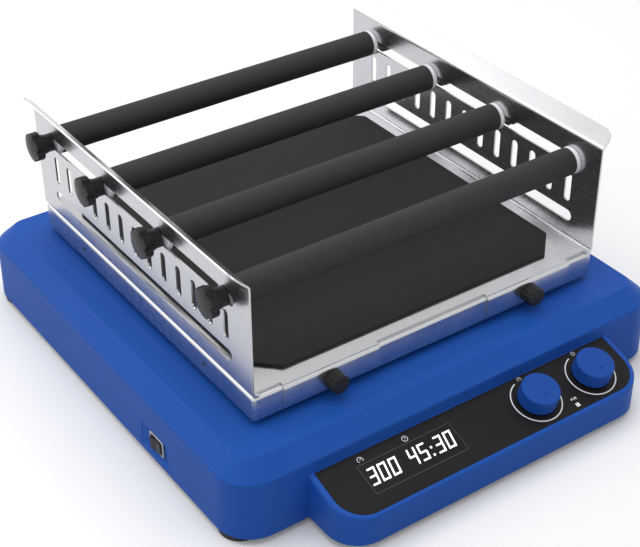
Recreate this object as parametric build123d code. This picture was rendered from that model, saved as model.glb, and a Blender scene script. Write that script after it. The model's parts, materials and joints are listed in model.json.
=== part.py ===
from build123d import *
import math
import os

# An orbital shaker: a square platform with a slotted carriage and four clamping bars, carried
# on an eccentric drive in a low housing with a sloping control console in front.
# Millimetres, +Z up. Everything is drawn about the platform's centre line, with z = 0 on the
# bench, and is moved back by platform_y when it is written, so that the origin ends up under
# the middle of the whole instrument.

# Clearances
seat_gap = 0.3          # between pieces that move past each other
run_gap = 0.05          # radial play of a shaft in its bore
snap_gap = 0.2          # round a piece that drops into a cut-out
flat = 0.01             # an edge that rises less than this is level

# Feet and housing
foot_h = 6.0
foot_r = 17.3
foot_taper = 0.6
foot_in_x = 18.5        # centre of a foot from the housing's sides
foot_in_y = 27.0
body_w = 416.0          # width and depth of the square housing at its lower edge
body_h = 64.0
body_lean = 1.0         # how far each side leans in below the bevel
bevel_w = 14.7
bevel_h = 13.7
corner_r = 30.0
edge_r = 2.5
wall = 3.0
cover_t = 2.0           # steel bottom cover
post_r = 6.0            # posts that the cover is screwed to
post_hole_r = 2.0
post_hole_l = 16.0
vent_n = 6
vent_pitch = 8.0
vent_w = 3.0
supply_vent_l = 60.0
motor_vent_l = 40.0
deck_hole_gap = 3.0     # round each eccentric pin, all the way round its orbit

# Console and its panel
console_w = 294.0
console_d = 49.5        # how far it stands out in front of the housing
console_corner_r = 27.0
console_back_h = 39.8   # top of its sloping face where it meets the housing
console_tilt = 16.6
panel_t = 1.5
panel_w = console_w - 10.0
panel_l = console_d - 1.0
panel_corner_r = 23.0
window_w = 85.0
window_l = 25.5
window_u = 73.5 - panel_w / 2
window_s = 22.9         # distances down the slope are from the panel's upper edge
ledge = 2.0             # housing left under the edge of the window
knob_u = [panel_w / 2 - 91.5, panel_w / 2 - 34.5]
knob_s = 24.6
led_u = sum(knob_u) / 2 - 1.2
led_s = 43.6
led_w = 3.6
neck_hole_r = 5.0       # in the housing, round an encoder's neck
stem_hole_r = 4.0       # in the panel, round a spindle

# Control knobs and the electronics behind the panel
knob_r = 16.0
knob_h = 12.5
knob_lift = 2.0         # underside of the knob above the panel
push_travel = 1.2
knob_skin = 3.0
knob_boss_r = 5.5
knob_edge_r = 1.2
dish_r = 7.5            # finger dimple
dish_depth = 1.3
dish_out = 8.5
spindle_r = 3.0
board_w = panel_w - 22.0
board_l = 38.0
board_t = 1.6
board_post_r = 3.0
board_drop = 14.0       # top of the board below the panel's face
display_w = 77.0
display_l = 18.0
digits_w = 36.0         # one block of numerals
encoder_w = 13.0
encoder_h = 8.0
encoder_neck_r = 4.4
encoder_floor = 1.0

# Mains switch in the left side
switch_y = -89.6
switch_z = 21.7
pocket_w = 47.0
pocket_l = 23.0
pocket_floor_w = 26.0
pocket_floor_l = 17.6
pocket_depth = 3.0
bezel_w = 21.0
bezel_l = 15.0
bezel_t = 1.6
rocker_w = 16.6
rocker_l = 10.4
rocker_tilt = 7.0
rocker_reach = rocker_w / 2
rocker_pivot = -2.5     # pivot behind the pocket's floor
rocker_pin_r = 1.5
rocker_top = 5.0        # the valley and the cut back, both from the pivot
rocker_back = 3.0
switch_depth = 18.0
can_w = bezel_w - 2.0   # the switch's body behind its bezel
can_l = bezel_l - 2.0
terminal_t = 0.8

# Mains inlet in the back
inlet_x = body_w / 2 - 73.0
inlet_z = foot_h + 26.0
inlet_w = 50.0
inlet_l = 28.0
inlet_t = 2.0
inlet_corner_r = 3.0
inlet_can_w = 29.0
inlet_can_l = 21.0
inlet_can_d = 20.0
mouth_w = 24.4
mouth_l = 16.6
inlet_screw_x = 20.0
inlet_seat = 1.8        # depth of the flat that the inlet's flange sits on

# Platform tray
plat_w = 330.0
plat_d = 330.0
tray_t = 2.0
tray_lip = 20.7
tray_gap = 5.3          # between the lip and the housing's top
tray_corner_r = 3.0
lip_hole_r = 2.2
lip_hole_y = plat_d / 2 - 69.0

# Carriage of bent sheet
sheet = 1.5
bend_r = 4.0
side_h = 95.8           # side wall up to the flange's bend, above the tray
flange_out = 11.5
flange_up = 11.0
flange_corner_r = 11.0
bar_slot_z = 72.3       # centre of the bars' slot above the tray
bar_slot_w = 10.0
bar_slot_l = plat_d - 42.0
low_slot_z = 21.0
low_slot_w = 10.0
low_slot_l = plat_d - 52.0
tall_slot_pitch = 22.0
tall_slot_n = int(low_slot_l // tall_slot_pitch) + 1
tall_slot_w = 7.0
tall_slot_z = 47.0
tall_slot_l = 26.0
tab_x = plat_w / 2 - 69.0
tab_w = 86.0
tab_h = 18.0
front_cut = 4.0         # how far the floor is cut back beside the tabs
tab_screw_z = -11.0     # thumb screws below the top of the tray

# Mat
mat_w = plat_w - 30.0
mat_d = plat_d - 33.0
mat_t = 2.5
mat_cut = 22.0

# Clamping bars
bar_share = [0.418, 0.153, -0.122, -0.402]    # place of each bar, as a share of the depth
rod_r = 5.0
stud_r = 3.0
sleeve_r = 11.5
bush_r = 11.5
bush_t = 4.0
clamp_collar_r = 7.5
clamp_neck_r = 8.2
clamp_head_r = 12.2
clamp_collar_l = 6.0
clamp_neck_l = 4.5
clamp_head_l = 8.5
clamp_crown_r = 36.0    # of the domed end
clamp_lobes = 6
clamp_grip = 3.0        # how far a stud reaches into the head
clamp_notch_r = 3.4
neck_notch_r = 1.6

# Thumb screws of the tray
thumb_r = 8.0
thumb_l = 10.0
thumb_flutes = 10
thumb_notch_r = 1.1
thumb_stud_r = 2.9

# Eccentric drive
throw = 5.0             # radius of the orbit
frame_t = 5.0
frame_w = body_w - 126.0
shaft_r = 8.5
main_pin_r = 6.0
guide_pin_r = 5.0
journal_r = 6.0
guide_x = min(frame_w, plat_w - 40.0) / 2 - 35.0     # under the tray and on the frame
guide_xy = [(-guide_x, 15.0 - guide_x), (guide_x, 15.0 - guide_x), (0.0, guide_x + 10.0)]
block_h = body_h - 33.0
bearing_r = 20.0
bearing_t = block_h / 2 - 3.5
web_t = 8.0
weight_r = 44.0
hub_h = 20.0            # drive hubs under the tray
hub_flange_t = 4.0
pin_end = 2.0           # metal left above the end of a pin
centre_flange_r = 38.0
centre_barrel_r = 16.0
guide_flange_r = 26.0
guide_barrel_r = 12.0
gusset_t = 4.0
seat_foot_t = 5.0       # foot flange of a bearing seat
bolt_hole_r = 2.7
belt_ratio = 3.0
driven_r = 44.0
belt_w = 8.0
belt_t = 2.0
pulley_rim = 1.2
motor_xy = (33.0 - frame_w / 2, frame_w / 2 - 33.0)
motor_r = 38.0
motor_lift = 5.5        # underside of the motor above the bottom cover
motor_floor = 4.0       # metal below the end of its shaft
motor_bay = 182.0
window_r = 8.0
frame_windows = [       # centre and size of each
    (60.0 - frame_w / 2, 0.0, 34.0, 70.0),
    (frame_w / 2 - 60.0, 0.0, 34.0, 70.0),
    (0.0, 48.0 - frame_w / 2, 90.0, 50.0),
    (frame_w / 2 - 50.0, frame_w / 2 - 50.0, 70.0, 70.0),
    (*motor_xy, motor_bay, motor_bay),
]
motor_shaft_r = 4.0
motor_pilot_r = 11.0
bracket_t = 3.0
bracket_w = 64.0

# Power supply
supply_w = 50.0
supply_l = 120.0
supply_h = body_h - 30.0
supply_x = body_w / 2 - supply_w / 2 - 10.0

# Heights worked out from the values above
body_top = foot_h + body_h
deck = foot_h + cover_t                       # top of the bottom cover
frame_top = deck + frame_t
lip_z = body_top + tray_gap
tray_top = lip_z + tray_lip
tray_under = tray_top - tray_t
floor_top = tray_top + sheet
bar_z = tray_top + bar_slot_z
bar_y = [share * plat_d for share in bar_share]
half = body_w / 2
wall_in = plat_w / 2 - sheet                  # inner face of a side wall
block_top = frame_top + block_h
pulley_z = block_top + 1.0
pulley_h = belt_w + 2 * pulley_rim
web_z = pulley_z + pulley_h
rear_reach = half - inlet_seat + inlet_t
front_reach = half + console_d
platform_y = (front_reach - rear_reach) / 2
motor_pulley_r = driven_r / belt_ratio
bracket_z = pulley_z - 2.5 - bracket_t
motor_bottom = deck + motor_lift
motor_h = bracket_z - motor_bottom
drive_xy = (0.0, -throw)
pin_top = tray_under - pin_end - seat_gap

# The panel's own plane: x across, y up the slope, z out of the panel
tilt = math.radians(console_tilt)
panel_plane = Plane(
    origin=(0, -half, foot_h + console_back_h),
    x_dir=(1, 0, 0),
    z_dir=(0, -math.sin(tilt), math.cos(tilt)),
)


def on_panel(u, s, out=0.0):
    """Place on the panel, s down the slope from its upper edge, out above its face."""
    return panel_plane * Pos(u, -s, out)


def rod(radius, length, place):
    """Round bar from the place along its +Z."""
    return place * extrude(Circle(radius), length)


def block(w, d, h, place):
    """Box standing on the place, centred across."""
    return place * Box(w, d, h, align=(Align.CENTER, Align.CENTER, Align.MIN))


def slot_tool(length, width, depth, place):
    """Solid that cuts a round-ended slot, half its depth each side of the place."""
    return place * extrude(SlotOverall(length, width), depth / 2, both=True)


# Facing planes for work on the sides: x runs along +Y and y runs up
side_face = Plane(origin=(0, 0, 0), x_dir=(0, 1, 0), z_dir=(1, 0, 0))


# Housing

def square_section(inset, half_size, radius, z):
    size = 2 * (half_size - inset)
    return Pos(0, 0, z) * RectangleRounded(size, size, radius - inset)


def body_block(inset):
    """The square housing as a solid, every face drawn in by the inset."""
    turn = math.atan(bevel_w / bevel_h)
    low_shift = inset * math.tan(turn / 2)
    top_shift = inset * math.tan((math.pi / 2 - turn) / 2)
    bevel_z = body_top - bevel_h - low_shift
    top_half = half - body_lean - bevel_w + inset - top_shift
    sections = [
        square_section(inset, half, corner_r, foot_h),
        square_section(inset, half - body_lean, corner_r - body_lean, bevel_z),
        square_section(inset, top_half, corner_r - body_lean - bevel_w + inset, body_top - inset),
    ]
    return loft(sections, ruled=True)


def console_plan(inset):
    """Outline of the console from above, running back into the housing."""
    back = -half + corner_r
    front = -front_reach + inset
    w = console_w - 2 * inset
    rect = Pos(0, (back + front) / 2) * Rectangle(w, back - front)
    corners = rect.vertices().sort_by(Axis.Y)[:2]
    return fillet(corners, console_corner_r - inset)


def console_block(inset):
    """The console as a solid under its sloping face."""
    tall = extrude(console_plan(inset), foot_h + body_h)
    tall = tall - block(console_w * 2, body_w, foot_h, Pos(0, -half, 0))
    above = on_panel(0, 0, -inset) * Box(
        console_w * 2, body_w * 2, body_h * 2, align=(Align.CENTER, Align.CENTER, Align.MIN)
    )
    return tall - above


def pocket_tool(grow):
    """Scooped pocket round the switch, with slanting sides."""
    mouth = Plane(
        origin=(-half - grow, switch_y, switch_z), x_dir=(0, -1, 0), z_dir=(1, 0, 0)
    )
    deep = mouth.offset(pocket_depth + 2 * grow)
    outer = mouth * Rectangle(pocket_w + 2 * grow, pocket_l + 2 * grow)
    inner = deep * Rectangle(pocket_floor_w + 2 * grow, pocket_floor_l + 2 * grow)
    return loft([outer, inner], ruled=True)


def inlet_seat_tool(grow):
    """Flat that the inlet's flange sits on."""
    place = Plane(origin=(inlet_x, half + wall, inlet_z), x_dir=(1, 0, 0), z_dir=(0, -1, 0))
    outline = RectangleRounded(inlet_w + 2 * grow, inlet_l + 2 * grow, inlet_corner_r + 1)
    return place * extrude(outline, wall + inlet_seat + grow)


def panel_outline(grow=0.0):
    """The overlay's outline on the panel plane."""
    rect = Pos(0, -panel_l / 2) * Rectangle(panel_w + 2 * grow, panel_l + 2 * grow)
    corners = rect.vertices().sort_by(Axis.Y)[:2]
    return fillet(corners, panel_corner_r)


def screw_posts():
    """Four posts inside the housing that the bottom cover is screwed to."""
    reach = half - corner_r - post_r
    spots = [Pos(x, y, deck) for x in (-reach, reach) for y in (-reach, reach)]
    posts = [rod(post_r, body_h, spot) for spot in spots]
    holes = [rod(post_hole_r, post_hole_l, spot) for spot in spots]
    return Part() + posts - holes


def board_posts():
    """Posts under the sloping face that hold the control board."""
    u = board_w / 2 - 2 * board_post_r
    length = board_drop - panel_t - wall / 2
    return [rod(board_post_r, length, on_panel(x, knob_s, -board_drop)) for x in (-u, board_post_r, u)]


def deck_holes():
    """Holes in the housing's top that the eccentric pins orbit in."""
    z = body_top - 2 * wall
    reach = throw + deck_hole_gap
    main = rod(reach + main_pin_r, 3 * wall, Pos(*drive_xy, z))
    guides = [rod(reach + guide_pin_r, 3 * wall, Pos(x, y - throw, z)) for x, y in guide_xy]
    return [main] + guides


def panel_cuts():
    """Openings under the overlay for the window, the spindles and the lamp."""
    deep = 2 * wall
    window = on_panel(window_u, window_s, -deep) * extrude(
        Rectangle(window_w - 2 * ledge, window_l - 2 * ledge), deep
    )
    shafts = [rod(neck_hole_r, deep, on_panel(u, knob_s, -deep)) for u in knob_u]
    lamp = on_panel(led_u, led_s, -deep) * extrude(Rectangle(led_w, led_w), deep)
    return [window, lamp] + shafts


def housing_shell():
    body = body_block(0)
    level = [e for e in body.edges() if e.bounding_box().size.Z < flat]
    body = fillet([e for e in level if e.center().Z > foot_h + edge_r], edge_r)
    console = console_block(0)
    nose = [e for e in console.edges() if e.center().Y < -half - 1 and e.center().Z > foot_h + 1]
    console = fillet([e for e in nose if abs((e @ 0).Z - (e @ 1).Z) < console_d / 2], edge_r)
    skin = body + console - pocket_tool(0) - inlet_seat_tool(0)
    hollow = body_block(wall) + console_block(wall) - pocket_tool(wall) - inlet_seat_tool(wall)
    lower_edge = body_block(wall).faces().sort_by(Axis.Z)[0]
    shell = skin - hollow - extrude(lower_edge, wall, dir=(0, 0, -1))
    posts = screw_posts() & body
    shell = shell + posts + board_posts()
    shell = shell - extrude(panel_plane * panel_outline(snap_gap), -panel_t)
    shell = shell - deck_holes() - panel_cuts()
    shell = shell - switch_cut() - inlet_cut()
    return shell


def switch_cut():
    """Hole through the pocket's floor for the switch."""
    floor_x = -half + pocket_depth
    return Pos(floor_x, switch_y, switch_z) * Box(4 * wall, can_w + snap_gap, can_l + snap_gap)


def inlet_cut():
    """Hole through the back for the inlet's body."""
    hole = Box(inlet_can_w + 1, 6 * wall, inlet_can_l + 1)
    return Pos(inlet_x, half - wall, inlet_z) * hole


def plan_face(inset):
    square = RectangleRounded(body_w - 2 * inset, body_w - 2 * inset, corner_r - inset)
    return square + console_plan(inset)


def vent_rows(x, y, length):
    """A row of cooling slots through the bottom cover."""
    start = x - (vent_n - 1) / 2 * vent_pitch
    return [
        slot_tool(length, vent_w, 4 * cover_t, Pos(start + i * vent_pitch, y, foot_h) * Rot(0, 0, 90))
        for i in range(vent_n)
    ]


def base_plate():
    plate = Pos(0, 0, foot_h) * extrude(plan_face(wall + snap_gap), cover_t)
    return plate - vent_rows(supply_x, 0, supply_vent_l) - vent_rows(*motor_xy, motor_vent_l)


def feet():
    """Four rubber feet, each a little narrower at the bench, with a recess for its screw."""
    foot = loft([Circle(foot_r - foot_taper), Pos(0, 0, foot_h) * Circle(foot_r)])
    recess = extrude(Circle(2 * post_hole_r), foot_h / 2)
    foot = foot - recess - extrude(Circle(post_hole_r), foot_h)
    x = half - foot_in_x
    y = half - foot_in_y
    return Compound(children=[Pos(sx * x, sy * y, 0) * foot for sx in (-1, 1) for sy in (-1, 1)])


# Panel, display and controls

def control_panel():
    plate = extrude(panel_plane * panel_outline(), -panel_t)
    window = on_panel(window_u, window_s, -panel_t) * extrude(
        Rectangle(window_w + snap_gap, window_l + snap_gap), panel_t
    )
    shafts = [rod(stem_hole_r, panel_t, on_panel(u, knob_s, -panel_t)) for u in knob_u]
    lamp = on_panel(led_u, led_s, -panel_t) * extrude(Rectangle(led_w, led_w), panel_t)
    return plate - window - shafts - lamp


def display_window():
    lens = extrude(Rectangle(window_w, window_l), panel_t)
    return on_panel(window_u, window_s, -panel_t) * lens


def display_module():
    """Two blocks of numerals on one carrier."""
    carrier = block(display_w, display_l, wall, Pos(0, 0, 0))
    height = board_drop - panel_t - wall
    u = (display_w - digits_w) / 2 - 1
    blocks = [block(digits_w, display_l - 1, height, Pos(x, 0, 0)) for x in (-u, u)]
    return on_panel(window_u, window_s, -board_drop) * (carrier + blocks)


def control_board():
    board = extrude(Rectangle(board_w, board_l), board_t)
    u = board_w / 2 - board_post_r - 1
    v = board_l / 2 - board_post_r - 1
    holes = [rod(post_hole_r, board_t, Pos(x, v, 0)) for x in (-u, u)]
    return on_panel(0, knob_s, -board_drop - board_t) * (board - holes)


def encoder(u):
    """Rotary encoder on the board: a square can with a round neck and a hollow shaft."""
    can = block(encoder_w, encoder_w, encoder_h, Pos(0, 0, 0))
    neck = rod(encoder_neck_r, board_drop - panel_t - encoder_h - snap_gap, Pos(0, 0, encoder_h))
    bore = rod(spindle_r + run_gap, board_drop, Pos(0, 0, encoder_floor))
    return on_panel(u, knob_s, -board_drop) * (can + neck - bore)


def spindle(u):
    """Encoder spindle, held off the encoder's floor by the travel of a push."""
    foot = encoder_floor + push_travel + seat_gap
    length = board_drop - foot + knob_lift + knob_h - knob_skin
    stem = extrude(Circle(spindle_r), length)
    stem = chamfer(stem.edges().sort_by(Axis.Z)[-1], spindle_r / 6)
    return on_panel(u, knob_s, -board_drop + foot) * stem


def knob(u):
    """Turning knob: a cap with a dished finger dimple, hollow under a rim, on a central boss."""
    cap = extrude(Circle(knob_r), knob_h, taper=2)
    rims = cap.edges().filter_by(GeomType.CIRCLE).sort_by(Axis.Z)
    cap = fillet(rims[-1], knob_edge_r)
    hollow = Circle(knob_r - knob_skin) - Circle(knob_boss_r)
    cap = cap - extrude(hollow, knob_h - knob_skin - dish_depth)
    dish = Pos(0, -dish_out, knob_h + dish_r - dish_depth) * Sphere(dish_r)
    bore = extrude(Circle(spindle_r + run_gap), knob_h - knob_skin + seat_gap)
    return on_panel(u, knob_s, knob_lift) * (cap - dish - bore)


def status_led():
    size = led_w - snap_gap
    return on_panel(led_u, led_s, -board_drop) * extrude(Rectangle(size, size), board_drop)


# Switch and inlet

def switch_place(out):
    """Place on the switch's axis, z pointing out of the left side, out from the pocket's floor."""
    floor_x = -half + pocket_depth
    return Plane(origin=(floor_x - out, switch_y, switch_z), x_dir=(0, -1, 0), z_dir=(-1, 0, 0))


def switch_body():
    """Switch housing with a bezel in front and two terminals behind."""
    frame = switch_place(0) * extrude(RectangleRounded(bezel_w, bezel_l, bezel_t), bezel_t)
    frame = chamfer(frame.faces().sort_by(Axis.X)[0].outer_wire().edges(), bezel_t / 3)
    can = switch_place(-switch_depth) * extrude(Rectangle(can_w, can_l), switch_depth)
    floor = rocker_pivot - rocker_reach - 1
    well = switch_place(floor) * extrude(
        Rectangle(rocker_w + 2 * seat_gap, rocker_l + 2 * seat_gap), bezel_t - floor
    )
    pins = [
        switch_place(-switch_depth) * Pos(u, 0, 0) * Box(terminal_t, can_l / 2, can_l)
        for u in (-can_w / 3, can_w / 3)
    ]
    socket_l = can_l - wall / 2
    socket = rod(rocker_pin_r + run_gap, socket_l, pivot_place(-socket_l / 2))
    return frame + can + pins - well - socket


def pivot_place(up):
    """Place on the rocker's pivot, z pointing up."""
    return Pos(-half + pocket_depth - rocker_pivot, switch_y, switch_z + up)


def rocker():
    """Rocker with two flats that meet in a shallow valley, tilted to its off position."""
    drum = extrude(Circle(rocker_reach), rocker_l / 2, both=True)
    size = 4 * rocker_reach
    cutter = Box(size, size, 2 * rocker_l)
    shift = rocker_top + size / 2
    valley = Rot(0, 0, rocker_tilt) * Pos(-shift, size / 2, 0) * cutter
    hill = Rot(0, 0, -rocker_tilt) * Pos(-shift, -size / 2, 0) * cutter
    back = Pos(rocker_back + size / 2, 0, 0) * cutter
    body = drum - valley - hill - back
    pin = extrude(Circle(rocker_pin_r), (can_l - wall / 2) / 2 - snap_gap, both=True)
    return pivot_place(0) * Rot(0, 0, rocker_tilt) * (body + pin)


def power_inlet():
    """Three-pin appliance inlet with its flange on the housing's back."""
    seat = Plane(origin=(inlet_x, half - inlet_seat, inlet_z), x_dir=(1, 0, 0), z_dir=(0, 1, 0))
    flange = extrude(RectangleRounded(inlet_w - 1, inlet_l - 1, inlet_corner_r), inlet_t)
    flange = chamfer(flange.faces().sort_by(Axis.Z)[-1].outer_wire().edges(), inlet_t / 4)
    can = Pos(0, 0, -inlet_can_d) * extrude(Rectangle(inlet_can_w, inlet_can_l), inlet_can_d)
    deep = inlet_can_d - wall
    mouth = extrude(RectangleRounded(mouth_w, mouth_l, 2), deep + inlet_t)
    blade = block(2, 4, deep - wall, Pos(0, 0, -deep))
    blades = [Pos(u, v, 0) * blade for u, v in ((-7, -2), (7, -2), (0, 3))]
    tabs = [block(terminal_t, 6, 8, Pos(u, 0, wall / 2 - inlet_can_d - 8)) for u in (-8, 0, 8)]
    holes = [rod(post_hole_r, 3 * inlet_t, Pos(u, 0, -inlet_t)) for u in (-inlet_screw_x, inlet_screw_x)]
    return seat * (flange + can - Pos(0, 0, -deep) * mouth + blades + tabs - holes)


# Platform

def tray():
    """Pan of polished sheet with bent down lips."""
    outer = Pos(0, 0, lip_z) * extrude(RectangleRounded(plat_w, plat_d, tray_corner_r), tray_lip)
    outer = fillet(outer.faces().sort_by(Axis.Z)[-1].edges(), tray_corner_r - 0.5)
    inner = Pos(0, 0, lip_z) * extrude(
        RectangleRounded(plat_w - 2 * tray_t, plat_d - 2 * tray_t, tray_corner_r - tray_t + 0.5),
        tray_lip - tray_t,
    )
    z = tray_top + tab_screw_z
    holes = [
        rod(lip_hole_r, plat_w * 2, Plane(origin=(-plat_w, y, z), z_dir=(1, 0, 0)))
        for y in (-lip_hole_y, lip_hole_y)
    ]
    studs = [
        rod(thumb_stud_r + seat_gap, 4 * tray_t, Plane(origin=(x, -plat_d / 2 - tray_t, z), z_dir=(0, 1, 0)))
        for x in (-tab_x, tab_x)
    ]
    return outer - inner - holes - studs


def gusset(r_in, r_out, low, high):
    """Triangular web on a barrel, its foot at the height low, standing up (or down) to high."""
    corners = [(r_in - 1, low), (r_out - 3, low), (r_in + 1, high), (r_in - 1, high)]
    outline = Plane.XZ * Polygon(*corners, align=None)
    return extrude(outline, gusset_t / 2, both=True)


def gussets(r_in, r_out, low, high, angles):
    web = gusset(r_in, r_out, low, high)
    return [Rot(0, 0, angle) * web for angle in angles]


def bolt_holes(circle_r, count, depth):
    """Holes through a foot flange, the first on +X."""
    return [spot * extrude(Circle(bolt_hole_r), depth) for spot in PolarLocations(circle_r, count)]


def hub(flange_r, barrel_r, pin_r):
    """Flange and barrel with a blind bore, hanging from the tray."""
    outer = extrude(Circle(barrel_r), -hub_h) + extrude(Circle(flange_r), -hub_flange_t)
    webs = gussets(barrel_r, flange_r, -hub_flange_t, -hub_h + 2 * hub_flange_t, (45, 135, 225, 315))
    bore = Pos(0, 0, -hub_h) * extrude(Circle(pin_r + run_gap), hub_h - pin_end)
    return outer + webs - bore - bolt_holes((flange_r + barrel_r) / 2, 4, -hub_flange_t)


def centre_hub():
    return Pos(0, 0, tray_under) * hub(centre_flange_r, centre_barrel_r, main_pin_r)


def guide_hubs():
    """Three smaller hubs, one over each guide eccentric."""
    one = hub(guide_flange_r, guide_barrel_r, guide_pin_r)
    return Compound(children=[Pos(x, y, tray_under) * one for x, y in guide_xy])


def side_slots():
    """Cutters for the slots of both side walls, from one side of the carriage to the other."""
    through = 2 * plat_w
    bars = slot_tool(bar_slot_l, bar_slot_w, through, side_face * Pos(0, bar_z))
    low = slot_tool(low_slot_l, low_slot_w, through, side_face * Pos(0, tray_top + low_slot_z))
    start = -tall_slot_pitch * (tall_slot_n - 1) / 2
    tall = [
        slot_tool(
            tall_slot_l,
            tall_slot_w,
            through,
            side_face * Pos(start + i * tall_slot_pitch, tray_top + tall_slot_z) * Rot(0, 0, 90),
        )
        for i in range(tall_slot_n)
    ]
    return [bars, low] + tall


def carriage():
    """Open U of bent sheet with flared flanges, slotted sides and two tabs in front."""
    x = plat_w / 2
    bend_z = tray_top + side_h
    with BuildLine(Plane.XZ) as path:
        FilletPolyline(
            (-x - flange_out, bend_z + flange_up),
            (-x, bend_z),
            (-x, tray_top),
            (x, tray_top),
            (x, bend_z),
            (x + flange_out, bend_z + flange_up),
            radius=bend_r,
        )
    profile = make_face(offset(path.wire(), sheet, side=Side.RIGHT).edges())
    body = extrude(profile, plat_d / 2, both=True)
    body = body - flange_corners() - side_slots() - front_cuts()
    return body + front_tabs()


def flange_corners():
    """Cutters that round the outer corners of both flanges."""
    lean = math.atan2(flange_out, flange_up)
    reach = math.hypot(flange_out, flange_up)
    r = flange_corner_r
    tools = []
    for sx in (-1, 1):
        face = Plane(
            origin=(sx * plat_w / 2, 0, tray_top + side_h),
            x_dir=(0, 1, 0),
            z_dir=(sx * math.cos(lean), 0, -math.sin(lean)),
        )
        up = 1 if face.y_dir.Z > 0 else -1
        for sy in (-1, 1):
            corner = Pos(sy * (plat_d / 2 - r / 2 + 1), up * (reach - r / 2 + 1)) * Rectangle(r + 2, r + 2)
            keep = Pos(sy * (plat_d / 2 - r), up * (reach - r)) * Circle(r)
            tools.append(face * extrude(corner - keep, 4 * sheet, both=True))
    return tools


def front_cuts():
    """Floor cut back from the front edge beside and between the tabs."""
    edge = tab_x + tab_w / 2
    gap = tab_x - tab_w / 2
    end = plat_w / 2 - bend_r - sheet
    y = -plat_d / 2 + front_cut / 2 - 1
    z = tray_top - 1
    middle = Pos(0, y, z) * Box(2 * gap, front_cut + 2, 4 * sheet)
    sides = [
        Pos(s * (edge + end) / 2, y, z) * Box(end - edge, front_cut + 2, 4 * sheet) for s in (-1, 1)
    ]
    return [middle] + sides


def front_tabs():
    """Tabs bent over the front of the tray, each with a hole for its thumb screw."""
    y = -plat_d / 2
    with BuildLine(Plane.YZ) as path:
        FilletPolyline(
            (y + front_cut + bend_r, floor_top),
            (y - sheet, floor_top),
            (y - sheet, floor_top - tab_h),
            radius=bend_r,
        )
    profile = make_face(offset(path.wire(), sheet, side=Side.RIGHT).edges())
    tab = extrude(profile, tab_w / 2, both=True)
    hole = rod(
        thumb_stud_r + seat_gap,
        4 * sheet,
        Plane(origin=(0, y - 2 * sheet, tray_top + tab_screw_z), z_dir=(0, 1, 0)),
    )
    return [Pos(s * tab_x, 0, 0) * (tab - hole) for s in (-1, 1)]


def rubber_mat():
    mat = chamfer(Rectangle(mat_w, mat_d).vertices(), mat_cut)
    return Pos(0, 0, floor_top) * extrude(mat, mat_t)


# Clamping bars, drawn about the middle of the bar, along X

def along_x(x):
    """Place at x on a bar's axis, z pointing along +X."""
    return Plane(origin=(x, 0, 0), x_dir=(0, 1, 0), z_dir=(1, 0, 0))


sleeve_half = wall_in - seat_gap - bush_t
knob_in = plat_w / 2 + seat_gap               # inner end of a clamp knob
stud_half = knob_in + clamp_collar_l + clamp_neck_l + clamp_grip


def bar_rod():
    """Steel core with a thinner stud at each end."""
    core = rod(rod_r, 2 * sleeve_half, along_x(-sleeve_half))
    studs = rod(stud_r, 2 * stud_half, along_x(-stud_half))
    edges = studs.edges().sort_by(Axis.X)
    return core + chamfer((edges[0], edges[-1]), stud_r / 5)


def bar_sleeve():
    foam = extrude(Circle(sleeve_r) - Circle(rod_r + run_gap), 2 * sleeve_half)
    return along_x(-sleeve_half) * foam


def bar_bushes():
    """White shoulder bushes: a flange inside the wall and a boss in the slot."""
    flange = extrude(Circle(bush_r), bush_t)
    boss = extrude(Circle(bar_slot_w / 2 - seat_gap), bush_t + sheet + seat_gap)
    one = flange + boss - extrude(Circle(stud_r + run_gap), bush_t + sheet + seat_gap)
    right = along_x(sleeve_half) * one
    return Compound(children=[right, mirror(right, Plane.YZ)])


def star(radius, lobes, notch_r):
    """Round outline with evenly spaced finger notches."""
    notches = [loc * Circle(notch_r) for loc in PolarLocations(radius + 0.45 * notch_r, lobes)]
    return Circle(radius) - notches


def clamp_knob():
    """Star knob with a collar, a ribbed neck and a lobed head, along +Z from the wall."""
    collar = extrude(Circle(clamp_collar_r), clamp_collar_l)
    ribbed = star(clamp_neck_r, clamp_lobes, neck_notch_r)
    neck = Pos(0, 0, clamp_collar_l) * extrude(ribbed, clamp_neck_l)
    head = extrude(star(clamp_head_r, clamp_lobes, clamp_notch_r), clamp_head_l)
    head = chamfer(head.faces().sort_by(Axis.Z)[-1].outer_wire().edges(), 1.0)
    inner = clamp_collar_l + clamp_neck_l
    head = Pos(0, 0, inner) * head
    head = head & Pos(0, 0, inner + clamp_head_l - clamp_crown_r) * Sphere(clamp_crown_r)
    bore = extrude(Circle(stud_r + run_gap), inner + clamp_grip + seat_gap)
    return collar + neck + head - bore


def thumb_screw():
    """Fluted thumb screw, along +Z away from the tray."""
    head = extrude(star(thumb_r, thumb_flutes, thumb_notch_r), thumb_l)
    head = chamfer(head.faces().sort_by(Axis.Z)[-1].outer_wire().edges(), thumb_notch_r / 2)
    return head + extrude(Circle(thumb_stud_r), -sheet - 3 * tray_t)


def tray_knob(side):
    y = -plat_d / 2 - sheet - seat_gap
    place = Plane(
        origin=(side * tab_x, y, tray_top + tab_screw_z), x_dir=(1, 0, 0), z_dir=(0, -1, 0)
    )
    return place * thumb_screw()


# Drive

def drive_frame():
    """Thick plate with lightening windows and a corner left free for the motor."""
    plan = RectangleRounded(frame_w, frame_w, 1.5 * window_r)
    for x, y, w, d in frame_windows:
        plan -= Pos(x, y) * RectangleRounded(w, d, window_r)
    plan -= Pos(*drive_xy) * Circle(shaft_r + 3)
    for x, y in guide_xy:
        plan -= Pos(x, y - throw) * Circle(journal_r + 2)
    return Pos(0, 0, deck) * extrude(plan, frame_t)


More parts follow.
